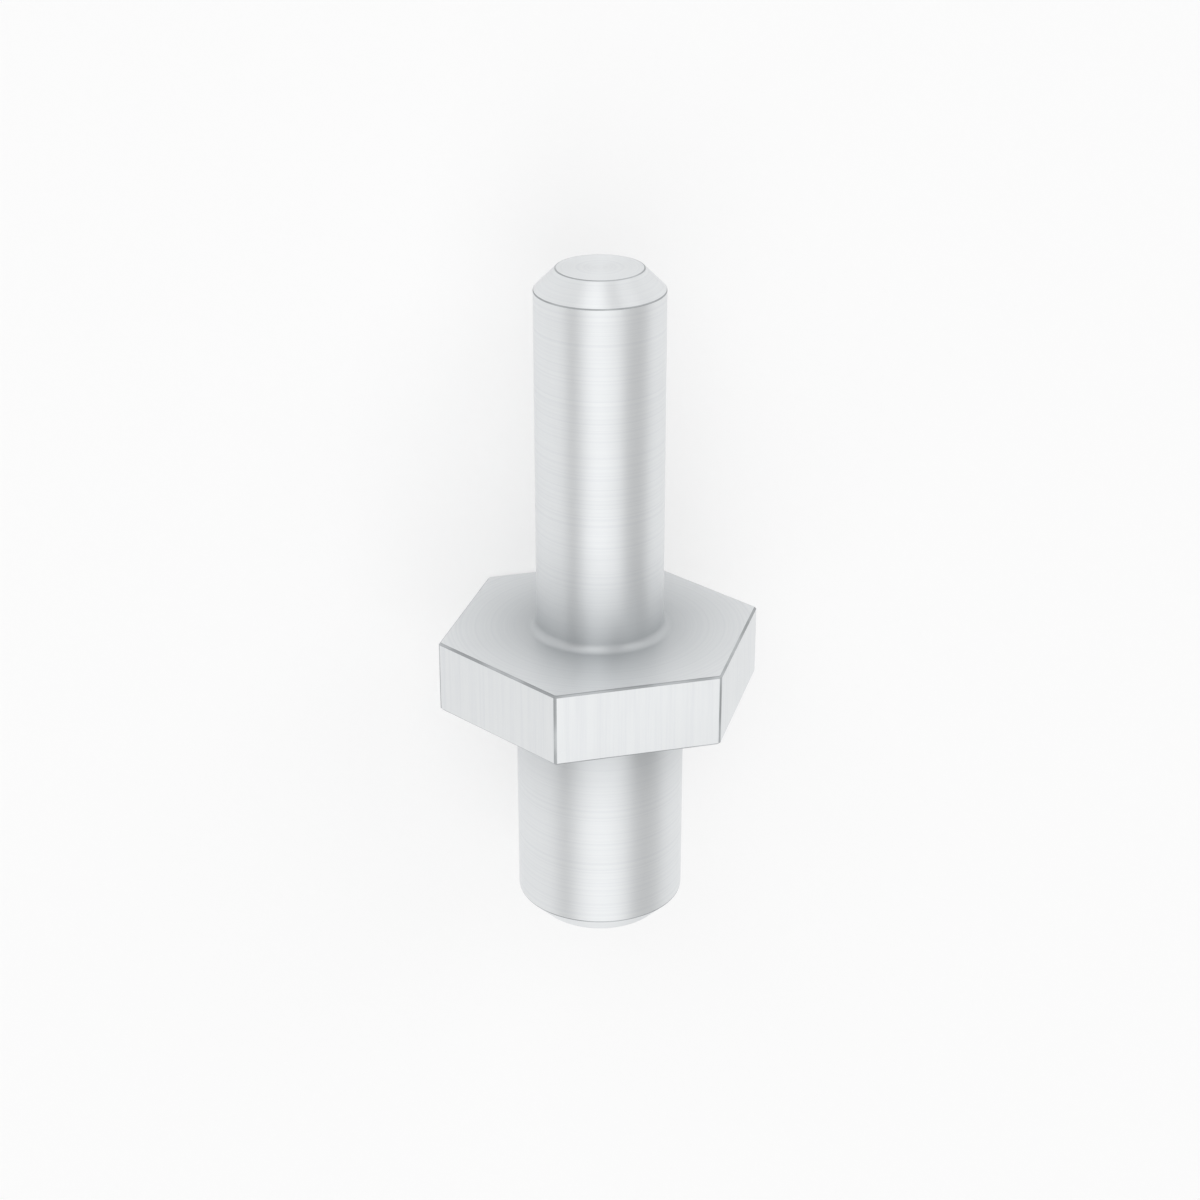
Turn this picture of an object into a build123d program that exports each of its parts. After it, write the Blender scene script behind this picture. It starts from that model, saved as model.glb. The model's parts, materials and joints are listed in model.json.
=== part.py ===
from build123d import *
import os

# Adjusting screw, turned in one piece from drawn hexagon bar. A slice of the bar is left
# as a collar for a spanner, with an M12 shank on one side of it and an M16 shank on the
# other, all on one axis. The shanks are plain cylinders of their threads' outer diameters,
# with no thread cut.
#
# The screw lies on a flat of its collar, as it comes to rest on a table. Its axis is along
# Y with the M12 end towards +Y, and +Z is square to the flat that it lies on. The origin is
# on the axis, in the plane of the collar's face at the M16 side. Lengths are in millimetres.

# Driving dimensions
across_flats = 27.0  # size of the bar, and of the spanner
collar_thickness = 7.0
m12_diameter = 12.0
m12_length = 35.0  # from the collar's face to the free end
m16_diameter = 16.0
m16_length = 23.0
end_chamfer = 2.0  # at 45 degrees, deeper than either thread, so that a nut starts easily
root_radius = 0.8  # left by the tool's nose where a shank meets the collar
bar_corner_radius = 0.3  # on the drawn bar's own six corners
edge_break = 0.2  # burr taken off the collar's rims, at 45 degrees

# Positions along the axis
m16_end = -m16_length
m12_face = collar_thickness
m12_end = collar_thickness + m12_length
outside_bar = across_flats  # any radius that stays clear of the bar's corners

with BuildPart() as screw:
    # What the lathe leaves: half of the lengthwise section, with radii along X. At the
    # collar it runs out past the bar, because nothing is cut there.
    with BuildSketch(Plane.XY) as section:
        with BuildLine():
            Polyline(
                (0, m16_end),
                (m16_diameter / 2, m16_end),
                (m16_diameter / 2, 0),
                (outside_bar, 0),
                (outside_bar, m12_face),
                (m12_diameter / 2, m12_face),
                (m12_diameter / 2, m12_end),
                (0, m12_end),
                close=True,
            )
        make_face()

        corners = section.vertices().group_by(Axis.Y)
        free_ends = [corners[0].sort_by(Axis.X)[-1], corners[-1].sort_by(Axis.X)[-1]]
        chamfer(free_ends, end_chamfer)

        corners = section.vertices().filter_by_position(Axis.Y, 0, m12_face).group_by(Axis.Y)
        roots = [row.sort_by(Axis.X)[0] for row in corners]
        fillet(roots, root_radius)
    revolve(axis=Axis.Y)

    # The bar that it is cut from, with its corners towards X and flats facing up and down
    with BuildSketch(Plane.XZ.offset(-m12_end)) as bar:
        RegularPolygon(across_flats / 2, side_count=6, major_radius=False)
        fillet(bar.vertices(), bar_corner_radius)
    extrude(amount=m12_end - m16_end, mode=Mode.INTERSECT)

    # The collar's two faces are the largest that are square to the axis
    collar_faces = screw.faces().filter_by(Axis.Y).sort_by(SortBy.AREA)[-2:]
    rims = [edge for face in collar_faces for edge in face.outer_wire().edges()]
    chamfer(rims, edge_break)

os.makedirs("parts", exist_ok=True)
export_step(screw.part, "parts/adjusting_screw.step")
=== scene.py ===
"""An adjusting screw in zinc-plated steel, lying on a flat of its hexagon collar in a plain studio.

The screw is one piece, with its axis along Y and its M12 end towards +Y. Lengths are in metres, and
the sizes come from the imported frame, which is loaded first.
"""

import json
import math

import bmesh
import bpy
from mathutils import Matrix, Vector


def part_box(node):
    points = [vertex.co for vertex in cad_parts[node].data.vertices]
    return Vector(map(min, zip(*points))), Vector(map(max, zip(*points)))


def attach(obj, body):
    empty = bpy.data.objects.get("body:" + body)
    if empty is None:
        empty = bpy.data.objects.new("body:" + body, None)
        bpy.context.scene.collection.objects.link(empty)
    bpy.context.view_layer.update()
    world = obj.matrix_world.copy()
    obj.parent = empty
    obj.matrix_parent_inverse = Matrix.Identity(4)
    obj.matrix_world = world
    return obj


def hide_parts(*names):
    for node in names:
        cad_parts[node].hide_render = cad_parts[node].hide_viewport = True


bl_info = {
    "name": "Adjusting Screw",
    "version": (1, 0, 0),
    "blender": (4, 5, 0),
    "location": "3D Viewport > Sidebar > Adjusting Screw",
    "description": "Models a zinc-plated adjusting screw and the studio that shows it",
    "category": "Object",
}

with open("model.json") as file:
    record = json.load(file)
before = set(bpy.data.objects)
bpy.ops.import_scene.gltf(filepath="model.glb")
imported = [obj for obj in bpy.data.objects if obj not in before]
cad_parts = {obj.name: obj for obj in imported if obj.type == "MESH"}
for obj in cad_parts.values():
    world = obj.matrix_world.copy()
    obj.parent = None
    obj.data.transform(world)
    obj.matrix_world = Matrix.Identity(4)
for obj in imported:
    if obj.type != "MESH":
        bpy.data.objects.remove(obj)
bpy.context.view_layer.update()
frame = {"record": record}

NODE = "adjusting_screw"
BODY = "root"
LOWEST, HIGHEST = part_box(NODE)
MOUNTS = {mount["name"]: mount for mount in frame["record"]["mounts"]}

MM = 0.001
AXIS = Vector((0, 1, 0))  # the screw's, towards its M12 end


def along_axis(mount):
    """How far along the screw's axis a mount is."""
    return MOUNTS[mount]["pos_m"][1]


def mount_size(mount, name):
    """A mount's size, which the frame holds in millimetres, in metres."""
    return MOUNTS[mount]["dims"][name] * MM


def linear(hex_colour):
    """A colour written as sRGB hex, as the linear red, green and blue that shaders take."""
    channels = [int(hex_colour[i : i + 2], 16) / 255 for i in (0, 2, 4)]
    return [c / 12.92 if c <= 0.04045 else ((c + 0.055) / 1.055) ** 2.4 for c in channels]


M16_FACE = along_axis("m16_side_face")
M12_FACE = along_axis("m12_side_face")
ROOT_RADIUS = along_axis("m12_shank") - M12_FACE
END_CHAMFER = HIGHEST.y - M12_FACE - ROOT_RADIUS - mount_size("m12_shank", "length_mm")


# ------------------------------------------------------------------- sizes, finish and stage


class ScrewSizes(bpy.types.PropertyGroup):
    """The screw's sizes. The collar's face at the M16 side stays where the frame has it."""

    across_flats: bpy.props.FloatProperty(
        name="Across flats",
        description="The hexagon bar's size, which is also the spanner's",
        default=HIGHEST.z - LOWEST.z,
        unit="LENGTH",
    )
    collar_thickness: bpy.props.FloatProperty(
        name="Collar thickness",
        description="Length of bar left between the two shanks",
        default=M12_FACE - M16_FACE,
        unit="LENGTH",
    )
    m12_diameter: bpy.props.FloatProperty(
        name="M12 diameter",
        description="Outer diameter of the thin shank",
        default=2 * mount_size("m12_shank", "r_mm"),
        unit="LENGTH",
    )
    m12_length: bpy.props.FloatProperty(
        name="M12 length",
        description="From the collar's face to the thin shank's free end",
        default=HIGHEST.y - M12_FACE,
        unit="LENGTH",
    )
    m16_diameter: bpy.props.FloatProperty(
        name="M16 diameter",
        description="Outer diameter of the thick shank",
        default=2 * mount_size("m16_shank", "r_mm"),
        unit="LENGTH",
    )
    m16_length: bpy.props.FloatProperty(
        name="M16 length",
        description="From the collar's face to the thick shank's free end",
        default=M16_FACE - LOWEST.y,
        unit="LENGTH",
    )
    end_chamfer: bpy.props.FloatProperty(
        name="End chamfer",
        description="Depth of the 45 degree chamfer on both free ends",
        default=END_CHAMFER,
        unit="LENGTH",
    )
    root_radius: bpy.props.FloatProperty(
        name="Root radius",
        description="Radius where a shank meets the collar",
        default=ROOT_RADIUS,
        unit="LENGTH",
    )
    bar_corner_radius: bpy.props.FloatProperty(
        name="Bar corner radius",
        description="Radius of the drawn bar's six corners",
        default=0.3 * MM,
        unit="LENGTH",
    )
    rim_break: bpy.props.FloatProperty(
        name="Rim break",
        description="Burr taken off the collar's rims, at 45 degrees",
        default=0.2 * MM,
        unit="LENGTH",
    )
    chamfer_break: bpy.props.FloatProperty(
        name="Chamfer break",
        description="How far back the plate rounds the edges of the end chamfers",
        default=0.08 * MM,
        unit="LENGTH",
    )


class ScrewFinish(bpy.types.PropertyGroup):
    """The screw's finish."""

    zinc: bpy.props.FloatVectorProperty(
        name="Zinc",
        description="Colour of the clear passivated zinc plate",
        subtype="COLOR",
        default=linear("E8EAEB"),
        min=0,
        max=1,
    )
    zinc_in_marks: bpy.props.FloatVectorProperty(
        name="Zinc in marks",
        description="Colour of the plate down in the tool marks",
        subtype="COLOR",
        default=linear("E4E6E8"),
        min=0,
        max=1,
    )
    # Painted shade: this grey is mixed in towards the two inside corners beside the collar, where shade
    # falls. The rubbed edges also use it as their least rubbed grey
    corner_shade_and_edge_wear: bpy.props.FloatVectorProperty(
        name="Zinc in corners",
        description="Colour of the thin plate in the two inside corners beside the collar",
        subtype="COLOR",
        default=linear("C4C7C9"),
        min=0,
        max=1,
    )
    zinc_on_edges: bpy.props.FloatVectorProperty(
        name="Zinc on edges",
        description="Colour of the plate where it is rubbed most along the outer edges",
        subtype="COLOR",
        default=linear("AAADAF"),
        min=0,
        max=1,
    )
    # How far out of an inside corner the painted shade reaches
    shade_reach: bpy.props.FloatProperty(
        name="Corner reach",
        description="How far out of an inside corner the plate is thinner",
        default=12 * MM,
        unit="LENGTH",
    )
    clouds: bpy.props.FloatProperty(
        name="Clouds",
        description="Size of the dull and bright clouds that plating leaves",
        default=6 * MM,
        unit="LENGTH",
    )
    turned_roughness: bpy.props.FloatProperty(
        name="Turned roughness",
        description="How far the plate blurs what it reflects, where the steel under it was turned",
        default=0.48,
        min=0,
        max=1,
        subtype="FACTOR",
    )
    drawn_roughness: bpy.props.FloatProperty(
        name="Drawn roughness",
        description="How far the plate blurs what it reflects, on the drawn flats",
        default=0.40,
        min=0,
        max=1,
        subtype="FACTOR",
    )
    edge_roughness: bpy.props.FloatProperty(
        name="Edge roughness",
        description="How far the plate blurs what it reflects, on the rubbed edges",
        default=0.55,
        min=0,
        max=1,
        subtype="FACTOR",
    )
    grain: bpy.props.FloatProperty(
        name="Grain",
        description="How much more the plate blurs what it reflects across the marks than along them",
        default=0.70,
        min=0,
        max=1,
        subtype="FACTOR",
    )
    # A real feed leaves rings about 0.1 mm apart. They are too fine to show, so they are drawn coarser.
    feed: bpy.props.FloatProperty(
        name="Feed",
        description="Spacing of the rings that the lathe's tool leaves",
        default=0.3 * MM,
        unit="LENGTH",
    )
    # Real draw lines are about 0.1 mm apart too, and are drawn coarser for the same reason
    draw_lines: bpy.props.FloatProperty(
        name="Draw lines",
        description="Spacing of the lines that the drawing die leaves along the bar's flats",
        default=0.4 * MM,
        unit="LENGTH",
    )
    rubbed_places: bpy.props.FloatProperty(
        name="Rubbed places",
        description="Length of the places along an edge that are rubbed more or less",
        default=4 * MM,
        unit="LENGTH",
    )
    mark_height: bpy.props.FloatProperty(
        name="Mark height",
        description="Height of the rings and the draw lines",
        default=0.006 * MM,
        unit="LENGTH",
        precision=4,
    )


class StageSettings(bpy.types.PropertyGroup):
    """The studio round the screw."""

    paper: bpy.props.FloatVectorProperty(
        name="Paper",
        description="Colour of the pale background paper that the screw lies on",
        subtype="COLOR",
        default=linear("FBFBFB"),
        min=0,
        max=1,
    )
    paper_evenness: bpy.props.FloatProperty(
        name="Paper evenness",
        description="How far the paper is evened out to white where it is seen or reflected",
        default=0.5,
        min=0,
        max=1,
        subtype="FACTOR",
    )
    room_strength: bpy.props.FloatProperty(
        name="Room",
        description="Brightness of the room above the sweep, which fills the shadows",
        default=0.52,
        min=0,
    )
    lens: bpy.props.FloatProperty(
        name="Lens",
        description="Focal length, on a 36 mm sensor",
        default=72.8,
        unit="CAMERA",
    )
    distance: bpy.props.FloatProperty(
        name="Distance",
        description="From the camera to the point on the axis that it looks at",
        default=228.5 * MM,
        unit="LENGTH",
    )
    aim: bpy.props.FloatProperty(
        name="Aim",
        description="How far beyond the collar's M12 face the camera looks",
        default=2.53 * MM,
        unit="LENGTH",
    )
    lean: bpy.props.FloatProperty(
        name="Lean",
        description="How far the camera leans from square to the axis, towards the M12 end",
        default=math.radians(24.83),
        unit="ROTATION",
    )
    turn: bpy.props.FloatProperty(
        name="Turn",
        description="How far the camera is turned about the axis from the upper flat, towards -X",
        default=math.radians(15),
        unit="ROTATION",
    )


# -------------------------------------------------------------------------------- modelling

SEGMENTS = 192  # round the shanks, and round the hexagon, so that the two join edge for edge
BAR_SIDES = 6
HALF_SIDE = math.pi / BAR_SIDES  # the turn round the axis from a corner of the bar to a flat's middle
CORNER_SEGMENTS = 4
ROOT_SEGMENTS = 8
BREAK_SEGMENTS = 3
LAID_DOWN = math.pi / 2  # the turn about X that lays an upright cylinder along the screw's axis
SMOOTH_BELOW = math.radians(50)  # between two faces, for the edge between them to be shaded round
WIDEST_ALONE = 100  # the weight at which the widest face beside an edge sets the normals there

# The screw's material slots after the first, which is the turned faces'
DRAWN, EDGES = 1, 2
AS_BESIDE = -1  # gives a bevel the material of the faces beside it

TOLERANCE = 0.001 * MM


def near(a, b):
    """Whether two numbers are the same but for rounding."""
    return abs(a - b) < TOLERANCE


def off_axis(place):
    """How far a place is from the screw's axis."""
    return math.hypot(place.x, place.z)


def start_part(name):
    """Start an empty mesh object at the origin, selected alone, and go into edit mode on it."""
    bpy.ops.object.select_all(action="DESELECT")
    part = bpy.data.objects.new(name, bpy.data.meshes.new(name))
    bpy.context.scene.collection.objects.link(part)
    part.select_set(True)
    bpy.context.view_layer.objects.active = part
    bpy.ops.object.mode_set(mode="EDIT")
    return part


def pick_edges(part, wanted):
    """In edit mode, select only the edges whose two ends pass a test."""
    bpy.ops.mesh.select_mode(type="EDGE")
    bpy.ops.mesh.select_all(action="DESELECT")
    for edge in bmesh.from_edit_mesh(part.data).edges:
        edge.select_set(wanted(*[end.co for end in edge.verts]))
    bmesh.update_edit_mesh(part.data)


def pick_faces(part, wanted):
    """In edit mode, select only the faces that pass a test of their middle and their normal."""
    bpy.ops.mesh.select_mode(type="FACE")
    bpy.ops.mesh.select_all(action="DESELECT")
    for face in bmesh.from_edit_mesh(part.data).faces:
        face.select_set(wanted(face.calc_center_median(), face.normal))
    bmesh.update_edit_mesh(part.data)


def bevel_ring(part, y, radius, width, segments, slot=AS_BESIDE):
    """Bevel the ring of edges at one radius round the axis."""
    pick_edges(part, lambda a, b: all(near(p.y, y) and near(off_axis(p), radius) for p in (a, b)))
    bpy.ops.mesh.bevel(offset=width, segments=segments, material=slot, clamp_overlap=False)


def add_shank(part, diameter, face, end):
    """Add a round shank that stands on one face of the collar and is open there."""
    bpy.ops.mesh.primitive_cylinder_add(
        vertices=SEGMENTS,
        radius=diameter / 2,
        depth=abs(end - face),
        location=(0, (face + end) / 2, 0),
        rotation=(LAID_DOWN, 0, 0),
        end_fill_type="NGON",
    )
    pick_faces(part, lambda middle, normal: near(middle.y, face))
    bpy.ops.mesh.delete(type="ONLY_FACE")


def add_collar(part, sizes):
    """Add the slice of hexagon bar as a tube of six flats, with its corners towards X and rounded."""
    to_flat = sizes.across_flats / 2
    bpy.ops.mesh.primitive_cylinder_add(
        vertices=BAR_SIDES,
        radius=to_flat / math.cos(HALF_SIDE),
        depth=sizes.collar_thickness,
        location=(0, M16_FACE + sizes.collar_thickness / 2, 0),
        rotation=(LAID_DOWN, HALF_SIDE, 0),
        end_fill_type="NOTHING",
    )
    on_bar = to_flat - TOLERANCE
    pick_edges(part, lambda a, b: min(map(off_axis, (a, b))) > on_bar and not near(a.y, b.y))
    corner_width = sizes.bar_corner_radius * math.tan(HALF_SIDE)
    bpy.ops.mesh.bevel(offset=corner_width, segments=CORNER_SEGMENTS, clamp_overlap=False)

    # The flats are cut lengthwise, so that the collar has as many segments round it as a shank
    half_flat = to_flat * math.tan(HALF_SIDE)
    pick_edges(part, lambda a, b: near(a.y, b.y) and (a - b).length > half_flat)
    bpy.ops.mesh.subdivide(number_cuts=SEGMENTS // BAR_SIDES - CORNER_SEGMENTS - 1)


def face_collar(part, y):
    """Close one face of the collar, from the hexagon's rim in to the shank that stands on it."""
    pick_edges(part, lambda a, b: near(a.y, y) and near(b.y, y))
    bpy.ops.mesh.bridge_edge_loops()


def break_rim(part, y, sizes):
    """Take the burr off the hexagon's rim round one face of the collar."""
    on_bar = sizes.across_flats / 2 - TOLERANCE
    pick_edges(part, lambda a, b: all(near(p.y, y) and off_axis(p) > on_bar for p in (a, b)))
    bpy.ops.mesh.bevel(offset=sizes.rim_break, segments=1, material=EDGES, clamp_overlap=False)


def chamfer_end(part, diameter, end, sizes, towards_collar):
    """Chamfer a free end, and round the chamfer's two edges as its plate does."""
    radius = diameter / 2
    bevel_ring(part, end, radius, sizes.end_chamfer, segments=1)
    inner = (end, radius - sizes.end_chamfer)
    outer = (end + towards_collar * sizes.end_chamfer, radius)
    for y, edge_radius in (inner, outer):
        bevel_ring(part, y, edge_radius, sizes.chamfer_break, BREAK_SEGMENTS, EDGES)


def give_material(part, slot, wanted):
    """In edit mode, give a slot's material to the faces that pass a test."""
    pick_faces(part, wanted)
    part.active_material_index = slot
    bpy.ops.object.material_slot_assign()


def give_bar_its_materials(part, sizes):
    """Give the drawn steel's plate to the bar's six flats, and the rubbed plate to its rounded corners."""
    to_flat = sizes.across_flats / 2
    on_bar = to_flat - sizes.rim_break
    give_material(part, EDGES, lambda middle, normal: off_axis(middle) > on_bar and near(normal.y, 0))
    give_material(
        part, DRAWN, lambda middle, normal: near(middle.dot(normal), to_flat) and near(normal.y, 0)
    )


def smooth(part):
    """Shade a finished part smooth, with the widest faces deciding the normals so that flats stay flat."""
    bpy.ops.object.shade_smooth_by_angle(angle=SMOOTH_BELOW)
    bpy.ops.object.modifier_add(type="WEIGHTED_NORMAL")
    weighted = part.modifiers[-1]
    weighted.weight = WIDEST_ALONE
    weighted.keep_sharp = True
    bpy.ops.object.modifier_apply(modifier=weighted.name)


# -------------------------------------------------------------------------------- materials

# A Mix node's two colours in and its colour out, which have the same names as its numbers
COLOUR_A, COLOUR_B, MIXED_COLOUR = 6, 7, 2

WHITE = (1, 1, 1, 1)
MARK_NOISE = {"Detail": 4, "Roughness": 0.7}  # fine marks among broad ones
MARK_BOTTOM, MARK_TOP = 0.3, 0.6  # the noise's values at which the plate is darkest and palest
CLOUD_DETAIL = 3
RUBBED_DETAIL = 1
DULLEST = 0.4  # how far clouds less marks go above 0, and below it
ROUGHNESS_SPREAD = 0.04  # either way, between the brightest plate and the dullest
QUARTER_TURN = 0.25  # from the tangent, which lies along the marks, to the way that light is drawn out
LINE_WIDTH = 0.02  # of a draw line's length
CORNER_FALL = 2  # how steeply the painted shade fades out of a corner
RUBBED_LEAST, RUBBED_MOST = 0.3, 0.6  # the noise's values at which an edge is rubbed least and most


def add(tree, kind, inputs=None, **settings):
    """Add a node to a tree, with its settings and with each named input set or linked."""
    node = tree.nodes.new(kind)
    for name, value in settings.items():
        setattr(node, name, value)
    for name, value in (inputs or {}).items():
        if isinstance(value, bpy.types.NodeSocket):
            tree.links.new(value, node.inputs[name])
        else:
            node.inputs[name].default_value = value
    return node


def new_material(name):
    """A material with nothing but its output."""
    material = bpy.data.materials.new(name)
    material.use_nodes = True
    material.node_tree.nodes.clear()
    return material, material.node_tree


def zinc_plate(tree, finish, roughness, marks, along_marks, painted_shade):
    """Satin zinc plate over the steel's marks, which draw light out across them. It is paler and
    brighter on top of a mark than beside it, cloudy all over, and greyer where shade is painted in.
    """
    place = add(tree, "ShaderNodeTexCoord").outputs["Object"]
    clouds = add(
        tree,
        "ShaderNodeTexNoise",
        {"Vector": place, "Scale": 1 / finish.clouds, "Detail": CLOUD_DETAIL},
    ).outputs["Fac"]
    tone = add(
        tree,
        "ShaderNodeMapRange",
        {"Value": marks, "From Min": MARK_BOTTOM, "From Max": MARK_TOP},
        interpolation_type="SMOOTHSTEP",
    ).outputs["Result"]
    in_the_open = add(
        tree,
        "ShaderNodeMix",
        {"Factor": tone, COLOUR_A: (*finish.zinc_in_marks, 1), COLOUR_B: (*finish.zinc, 1)},
        data_type="RGBA",
    ).outputs[MIXED_COLOUR]
    # Painted shade: the corner grey mixed in over the plate's own colour
    colour = add(
        tree,
        "ShaderNodeMix",
        {"Factor": painted_shade, COLOUR_A: in_the_open, COLOUR_B: (*finish.corner_shade_and_edge_wear, 1)},
        data_type="RGBA",
    ).outputs[MIXED_COLOUR]
    dullness = add(
        tree, "ShaderNodeMath", {0: clouds, 1: marks}, operation="SUBTRACT"
    ).outputs["Value"]
    blur = add(
        tree,
        "ShaderNodeMapRange",
        {
            "Value": dullness,
            "From Min": -DULLEST,
            "From Max": DULLEST,
            "To Min": roughness - ROUGHNESS_SPREAD,
            "To Max": roughness + ROUGHNESS_SPREAD,
        },
    ).outputs["Result"]
    bump = add(
        tree, "ShaderNodeBump", {"Height": marks, "Distance": finish.mark_height, "Strength": 1}
    ).outputs["Normal"]
    plate = add(
        tree,
        "ShaderNodeBsdfPrincipled",
        {
            "Base Color": colour,
            "Metallic": 1,
            "Roughness": blur,
            "Anisotropic": finish.grain,
            "Anisotropic Rotation": QUARTER_TURN,
            "Tangent": along_marks,
            "Normal": bump,
        },
    ).outputs["BSDF"]
    add(tree, "ShaderNodeOutputMaterial", {"Surface": plate})


def zinc_on_turned_steel(finish, sizes):
    """Clear passivated zinc plate on steel as the lathe leaves it. Its fine rings round the axis draw
    light out into a soft streak along a shank. Shade is painted into its colour towards the two
    inside corners, so the screw is greyer next to its collar.
    """
    material, tree = new_material("zinc_plate_on_turned_steel")
    place = add(tree, "ShaderNodeTexCoord").outputs["Object"]
    axes = add(tree, "ShaderNodeSeparateXYZ", {"Vector": place}).outputs
    across = add(tree, "ShaderNodeCombineXYZ", {"X": axes["X"], "Z": axes["Z"]}).outputs["Vector"]
    radius = add(tree, "ShaderNodeVectorMath", {0: across}, operation="LENGTH").outputs["Value"]
    middle = M16_FACE + sizes.collar_thickness / 2
    from_middle = add(
        tree, "ShaderNodeMath", {0: axes["Y"], 1: middle}, operation="SUBTRACT"
    ).outputs["Value"]
    along = add(tree, "ShaderNodeMath", {0: from_middle}, operation="ABSOLUTE").outputs["Value"]

    # The tool travels out along a shank, and in across a face
    travel = add(
        tree, "ShaderNodeMath", {0: along, 1: radius}, operation="SUBTRACT"
    ).outputs["Value"]
    rings = add(
        tree,
        "ShaderNodeTexNoise",
        {"W": travel, "Scale": 1 / finish.feed, **MARK_NOISE},
        noise_dimensions="1D",
    ).outputs["Fac"]

    # The distance to the corner on the same side of the collar grows along the shank and up the face, and
    # the shade painted into the corner fades out with it
    to_place = add(tree, "ShaderNodeMath", {0: along, 1: radius}, operation="ADD").outputs["Value"]
    to_corner = add(
        tree,
        "ShaderNodeMapRange",
        {
            "Value": from_middle,
            "From Min": -TOLERANCE,
            "From Max": TOLERANCE,
            "To Min": (sizes.collar_thickness + sizes.m16_diameter) / 2,
            "To Max": (sizes.collar_thickness + sizes.m12_diameter) / 2,
        },
    ).outputs["Result"]
    from_corner = add(
        tree, "ShaderNodeMath", {0: to_place, 1: to_corner}, operation="SUBTRACT"
    ).outputs["Value"]
    nearness = add(
        tree,
        "ShaderNodeMapRange",
        {"Value": from_corner, "From Min": finish.shade_reach, "From Max": 0},
    ).outputs["Result"]
    # Painted shade, strongest in the corner itself
    painted_shade = add(
        tree, "ShaderNodeMath", {0: nearness, 1: CORNER_FALL}, operation="POWER"
    ).outputs["Value"]

    round_axis = add(
        tree, "ShaderNodeVectorMath", {0: place, 1: AXIS}, operation="CROSS_PRODUCT"
    ).outputs["Vector"]
    zinc_plate(tree, finish, finish.turned_roughness, rings, round_axis, painted_shade)
    return material


def zinc_on_drawn_steel(finish):
    """Clear passivated zinc plate on the bar's drawn flats. The die's faint lines run along the axis,
    so a flat looks smoother than the turned faces beside it, with its light drawn out sideways.
    """
    material, tree = new_material("zinc_plate_on_drawn_steel")
    place = add(tree, "ShaderNodeTexCoord").outputs["Object"]
    stretched = add(
        tree, "ShaderNodeMapping", {"Vector": place, "Scale": (1, LINE_WIDTH, 1)}
    ).outputs["Vector"]
    lines = add(
        tree,
        "ShaderNodeTexNoise",
        {"Vector": stretched, "Scale": 1 / finish.draw_lines, **MARK_NOISE},
    ).outputs["Fac"]
    lengthways = add(tree, "ShaderNodeCombineXYZ", {"Y": 1}).outputs["Vector"]
    zinc_plate(tree, finish, finish.drawn_roughness, lines, lengthways, painted_shade=0)
    return material


def zinc_on_rubbed_edges(finish):
    """Clear passivated zinc plate on the outer edges, where the screws rub together in the plating
    barrel. It is dull there, as grey as in an inside corner where it is rubbed least, and greyer where
    it is rubbed more, so a fine grey line follows each edge.
    """
    material, tree = new_material("zinc_plate_on_rubbed_edges")
    place = add(tree, "ShaderNodeTexCoord").outputs["Object"]
    places = add(
        tree,
        "ShaderNodeTexNoise",
        {"Vector": place, "Scale": 1 / finish.rubbed_places, "Detail": RUBBED_DETAIL},
    ).outputs["Fac"]
    rubbed = add(
        tree,
        "ShaderNodeMapRange",
        {"Value": places, "From Min": RUBBED_LEAST, "From Max": RUBBED_MOST},
        interpolation_type="SMOOTHSTEP",
    ).outputs["Result"]
    colour = add(
        tree,
        "ShaderNodeMix",
        {"Factor": rubbed, COLOUR_A: (*finish.corner_shade_and_edge_wear, 1), COLOUR_B: (*finish.zinc_on_edges, 1)},
        data_type="RGBA",
    ).outputs[MIXED_COLOUR]
    plate = add(
        tree,
        "ShaderNodeBsdfPrincipled",
        {"Base Color": colour, "Metallic": 1, "Roughness": finish.edge_roughness},
    ).outputs["BSDF"]
    add(tree, "ShaderNodeOutputMaterial", {"Surface": plate})
    return material


def pale_paper(stage):
    """Matt background paper, which takes soft shadows and gives no reflections of its own. Where it is
    seen, straight or reflected, it is evened out towards white, so that its shadows are faint.
    """
    material, tree = new_material("matt_background_paper")
    material.cycles.emission_sampling = "NONE"  # its white isn't a lamp
    paper = add(tree, "ShaderNodeBsdfDiffuse", {"Color": (*stage.paper, 1)}).outputs["BSDF"]
    white = add(tree, "ShaderNodeEmission", {"Color": WHITE, "Strength": 1}).outputs["Emission"]
    rays = add(tree, "ShaderNodeLightPath").outputs
    seen = rays["Is Camera Ray"]
    for ray in ("Is Glossy Ray", "Is Transmission Ray"):
        seen = add(tree, "ShaderNodeMath", {0: seen, 1: rays[ray]}, operation="MAXIMUM").outputs["Value"]
    share = add(
        tree, "ShaderNodeMath", {0: seen, 1: stage.paper_evenness}, operation="MULTIPLY"
    ).outputs["Value"]
    evened = add(tree, "ShaderNodeMixShader", {0: share, 1: paper, 2: white}).outputs["Shader"]
    add(tree, "ShaderNodeOutputMaterial", {"Surface": evened})
    return material


# ------------------------------------------------------------------------------------ stage

# The paper is level out to a crease and slopes up from there to its rim, with a bend for the crease
CREASE_RADIUS = 1.1
RIM_RADIUS = 2.0
RIM_HEIGHT = 0.6
BEND_WIDTH = 0.8  # on either side of the crease
SWEEP_SEGMENTS = 96
BEND_SEGMENTS = 16

# Softboxes, all farther off than the paper's rim: name, direction from the screw, side, radiance
SOFTBOX_DISTANCE = 3.0
SOFTBOXES = (
    ("overhead_softbox", (-0.2, -0.4, 1.0), 4.2, 0.75),
    ("key_softbox", (-0.3, 0.7, 0.6), 2.4, 1.0),
    ("fill_softbox", (0.6, 0.6, 0.6), 2.0, 0.82),
)

NEAREST = 10 * MM  # nothing closer to the camera is drawn


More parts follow.
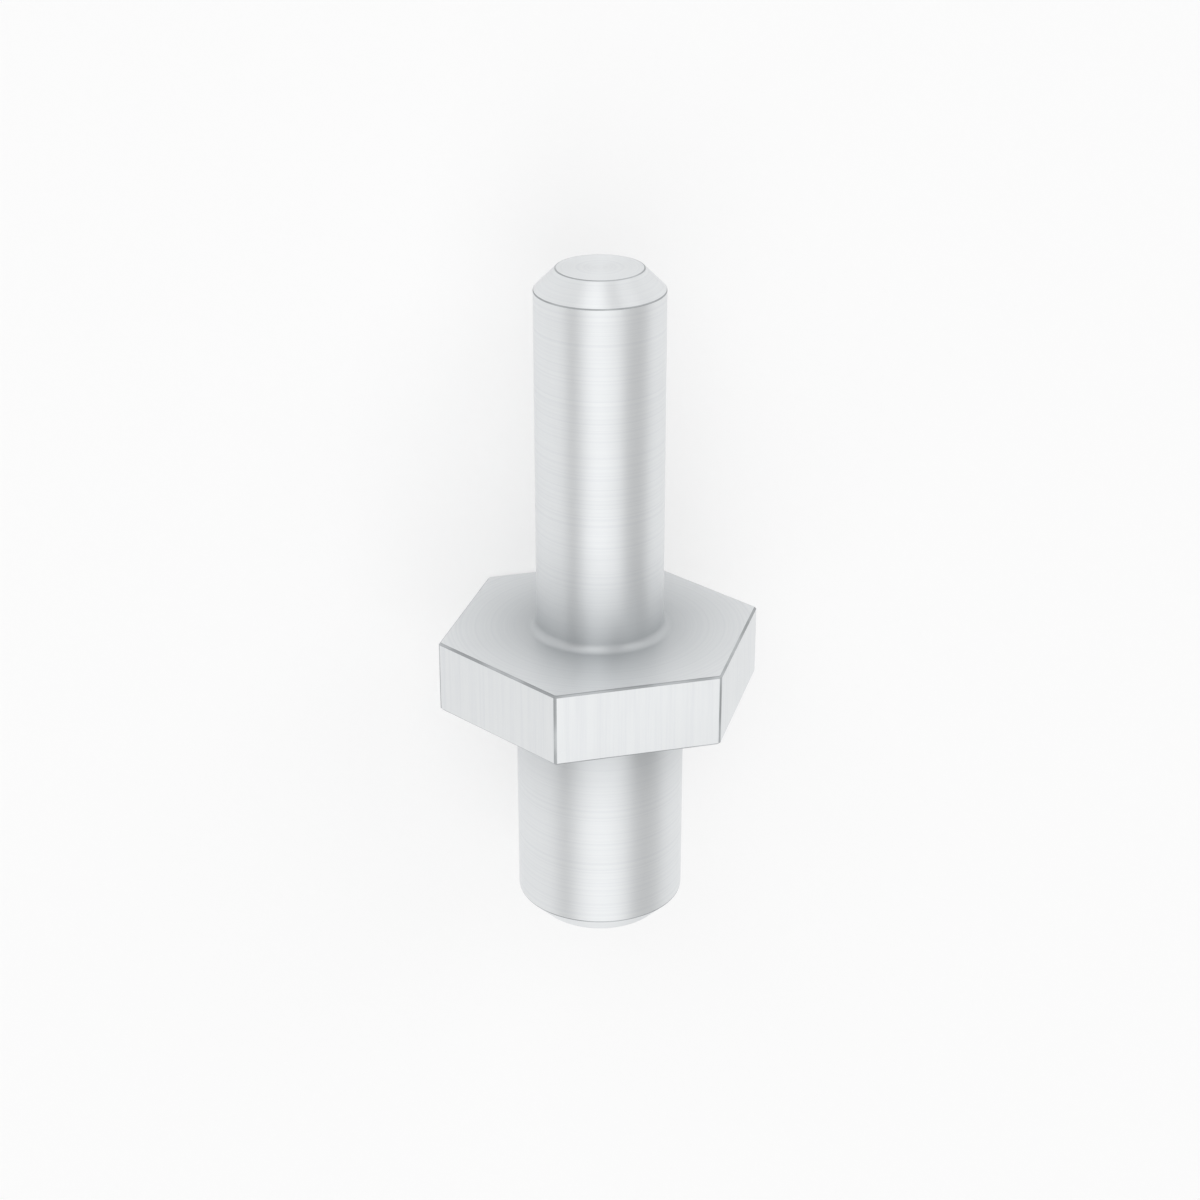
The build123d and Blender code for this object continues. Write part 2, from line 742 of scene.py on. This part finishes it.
def lay_floor(stage):
    """A wide round floor of background paper, which sweeps up to its rim so that no horizon shows."""
    bpy.ops.object.select_all(action="DESELECT")
    bpy.ops.mesh.primitive_circle_add(
        vertices=SWEEP_SEGMENTS, radius=CREASE_RADIUS, fill_type="NGON", location=(0, 0, LOWEST.z)
    )
    floor = bpy.context.object
    floor.name = "floor"
    bpy.ops.object.transform_apply(location=True, rotation=True, scale=True)
    bpy.ops.object.mode_set(mode="EDIT")
    pick_edges(floor, lambda a, b: True)  # the circle's, but not the face inside them
    bpy.ops.mesh.extrude_region_move(TRANSFORM_OT_translate={"value": (0, 0, RIM_HEIGHT)})
    widening = RIM_RADIUS / CREASE_RADIUS
    bpy.ops.transform.resize(value=(widening, widening, 1), center_override=(0, 0, 0))
    pick_edges(floor, lambda a, b: near(a.z, LOWEST.z) and near(b.z, LOWEST.z))
    bpy.ops.mesh.bevel(offset=BEND_WIDTH, segments=BEND_SEGMENTS, clamp_overlap=False)
    bpy.ops.mesh.select_all(action="SELECT")
    bpy.ops.mesh.normals_make_consistent(inside=True)
    bpy.ops.object.mode_set(mode="OBJECT")
    bpy.ops.object.shade_smooth_by_angle(angle=SMOOTH_BELOW)
    floor.data.materials.append(pale_paper(stage))


def light_room(scene, stage):
    """An even grey room above the sweep, which fills the shadows."""
    scene.world = bpy.data.worlds.new("grey_room")
    scene.world.use_nodes = True
    tree = scene.world.node_tree
    tree.nodes.clear()
    room = add(tree, "ShaderNodeBackground", {"Color": WHITE, "Strength": stage.room_strength})
    add(tree, "ShaderNodeOutputWorld", {"Surface": room.outputs["Background"]})


def hang_softboxes():
    """Square softboxes that face the screw."""
    for name, direction, side, radiance in SOFTBOXES:
        lamp = bpy.data.lights.new(name, "AREA")
        lamp.shape = "SQUARE"
        lamp.size = side
        lamp.energy = radiance * math.pi * side**2  # the watts that give it this radiance
        softbox = bpy.data.objects.new(name, lamp)
        bpy.context.scene.collection.objects.link(softbox)
        outward = Vector(direction).normalized()
        softbox.location = outward * SOFTBOX_DISTANCE
        softbox.rotation_euler = outward.to_track_quat("Z", "Y").to_euler()


def place_camera(scene, stage):
    """The camera looks down on the screw, turned so that the axis stands upright in the picture."""
    camera = bpy.data.objects.new("camera", bpy.data.cameras.new("camera"))
    scene.collection.objects.link(camera)
    camera.data.lens = stage.lens
    camera.data.clip_start = NEAREST

    square_to_axis = Vector((-math.sin(stage.turn), 0, math.cos(stage.turn)))
    back = math.cos(stage.lean) * square_to_axis + math.sin(stage.lean) * AXIS
    right = AXIS.cross(back).normalized()
    up = back.cross(right)
    target = AXIS * (M12_FACE + stage.aim)
    turned = Matrix((right, up, back)).transposed().to_4x4()
    camera.matrix_world = Matrix.Translation(target + stage.distance * back) @ turned
    scene.camera = camera


# -------------------------------------------------------------------------------- operators


class SCREW_OT_turn_screw(bpy.types.Operator):
    """Turn the screw from hexagon bar, with a shank on either side of its collar, and plate it"""

    bl_idname = "screw.turn_screw"
    bl_label = "Turn Screw"
    bl_options = {"REGISTER", "UNDO"}

    def execute(self, context):
        sizes = context.scene.screw_sizes
        finish = context.scene.screw_finish
        m12_face = M16_FACE + sizes.collar_thickness
        m12_end = m12_face + sizes.m12_length
        m16_end = M16_FACE - sizes.m16_length

        screw = start_part("zinc_plated_screw")
        screw.data.materials.append(zinc_on_turned_steel(finish, sizes))
        screw.data.materials.append(zinc_on_drawn_steel(finish))
        screw.data.materials.append(zinc_on_rubbed_edges(finish))
        add_shank(screw, sizes.m16_diameter, M16_FACE, m16_end)
        add_shank(screw, sizes.m12_diameter, m12_face, m12_end)
        add_collar(screw, sizes)
        for y, diameter in ((M16_FACE, sizes.m16_diameter), (m12_face, sizes.m12_diameter)):
            face_collar(screw, y)
            bevel_ring(screw, y, diameter / 2, sizes.root_radius, ROOT_SEGMENTS)
            break_rim(screw, y, sizes)
        chamfer_end(screw, sizes.m16_diameter, m16_end, sizes, towards_collar=1)
        chamfer_end(screw, sizes.m12_diameter, m12_end, sizes, towards_collar=-1)
        bpy.ops.mesh.select_all(action="SELECT")
        bpy.ops.mesh.normals_make_consistent(inside=False)

        give_bar_its_materials(screw, sizes)
        bpy.ops.object.mode_set(mode="OBJECT")
        smooth(screw)

        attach(screw, BODY)
        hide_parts(NODE)
        return {"FINISHED"}


class SCREW_OT_set_stage(bpy.types.Operator):
    """Set the plain studio: a pale floor, soft lamps and the camera"""

    bl_idname = "screw.set_stage"
    bl_label = "Set Stage"
    bl_options = {"REGISTER", "UNDO"}

    def execute(self, context):
        stage = context.scene.screw_stage
        lay_floor(stage)
        light_room(context.scene, stage)
        hang_softboxes()
        place_camera(context.scene, stage)
        context.scene.view_settings.view_transform = "Standard"
        return {"FINISHED"}


class SCREW_PT_panel(bpy.types.Panel):
    """Adjusting screw"""

    bl_idname = "SCREW_PT_panel"
    bl_label = "Adjusting Screw"
    bl_space_type = "VIEW_3D"
    bl_region_type = "UI"
    bl_category = "Adjusting Screw"

    def draw(self, context):
        scene = context.scene
        for title, group, operator in (
            ("Sizes", scene.screw_sizes, None),
            ("Finish", scene.screw_finish, SCREW_OT_turn_screw),
            ("Stage", scene.screw_stage, SCREW_OT_set_stage),
        ):
            box = self.layout.box()
            box.label(text=title)
            for name in group.__annotations__:
                box.prop(group, name)
            if operator:
                box.operator(operator.bl_idname)


CLASSES = (
    ScrewSizes,
    ScrewFinish,
    StageSettings,
    SCREW_OT_turn_screw,
    SCREW_OT_set_stage,
    SCREW_PT_panel,
)


def register():
    for cls in CLASSES:
        bpy.utils.register_class(cls)
    bpy.types.Scene.screw_sizes = bpy.props.PointerProperty(type=ScrewSizes)
    bpy.types.Scene.screw_finish = bpy.props.PointerProperty(type=ScrewFinish)
    bpy.types.Scene.screw_stage = bpy.props.PointerProperty(type=StageSettings)


def unregister():
    del bpy.types.Scene.screw_stage
    del bpy.types.Scene.screw_finish
    del bpy.types.Scene.screw_sizes
    for cls in reversed(CLASSES):
        bpy.utils.unregister_class(cls)


def main():
    """Build the screw and its stage."""
    register()
    bpy.ops.screw.turn_screw()
    bpy.ops.screw.set_stage()


if __name__ == "__main__":
    main()
